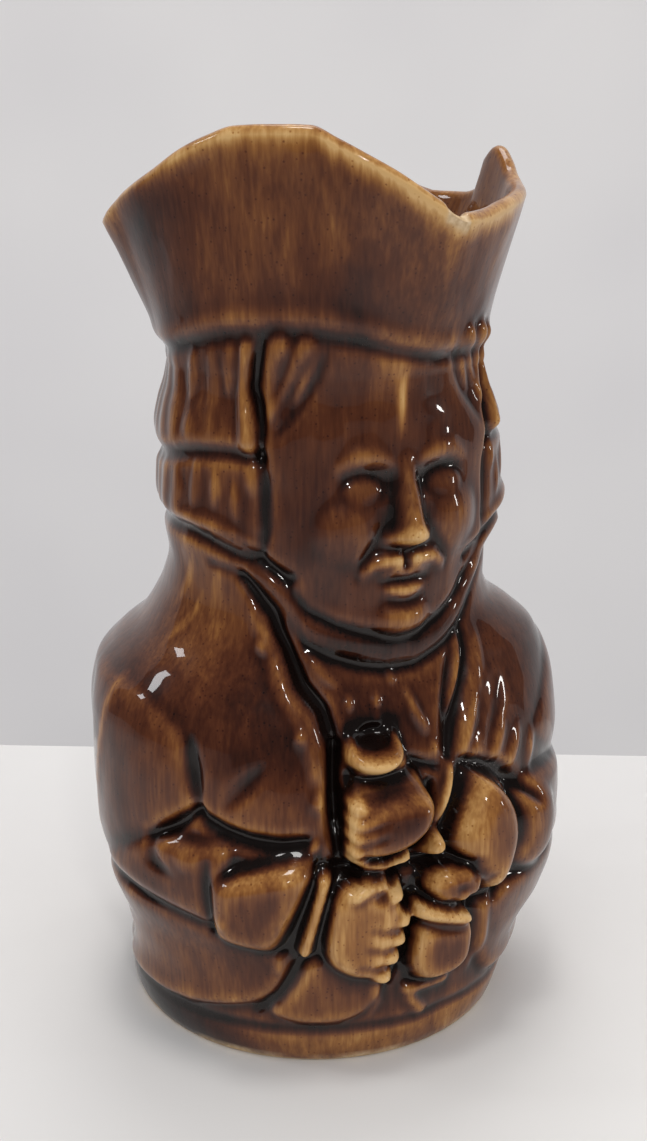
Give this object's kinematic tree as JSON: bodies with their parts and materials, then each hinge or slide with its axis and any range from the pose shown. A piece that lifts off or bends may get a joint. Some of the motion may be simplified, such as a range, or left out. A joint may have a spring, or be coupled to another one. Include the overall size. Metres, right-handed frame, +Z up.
{
  "type": "toby jug",
  "caption": "Hollow toby jug creamer: seated figure in relief, tricorn hat as the pouring rim, loop handle behind, brown Rockingham glaze.",
  "frame": {"origin": "centre of the round flat underside", "axes": "+Z up, the figure faces -Y, +X towards the figure's left, the handle at +Y"},
  "size_m": [0.0903, 0.1082, 0.16],
  "materials": {
    "glaze": "glossy mottled brown Rockingham glaze over buff earthenware"
  },
  "bodies": {
    "root": {"toby_jug": "glaze"}
  },
  "joints": []
}
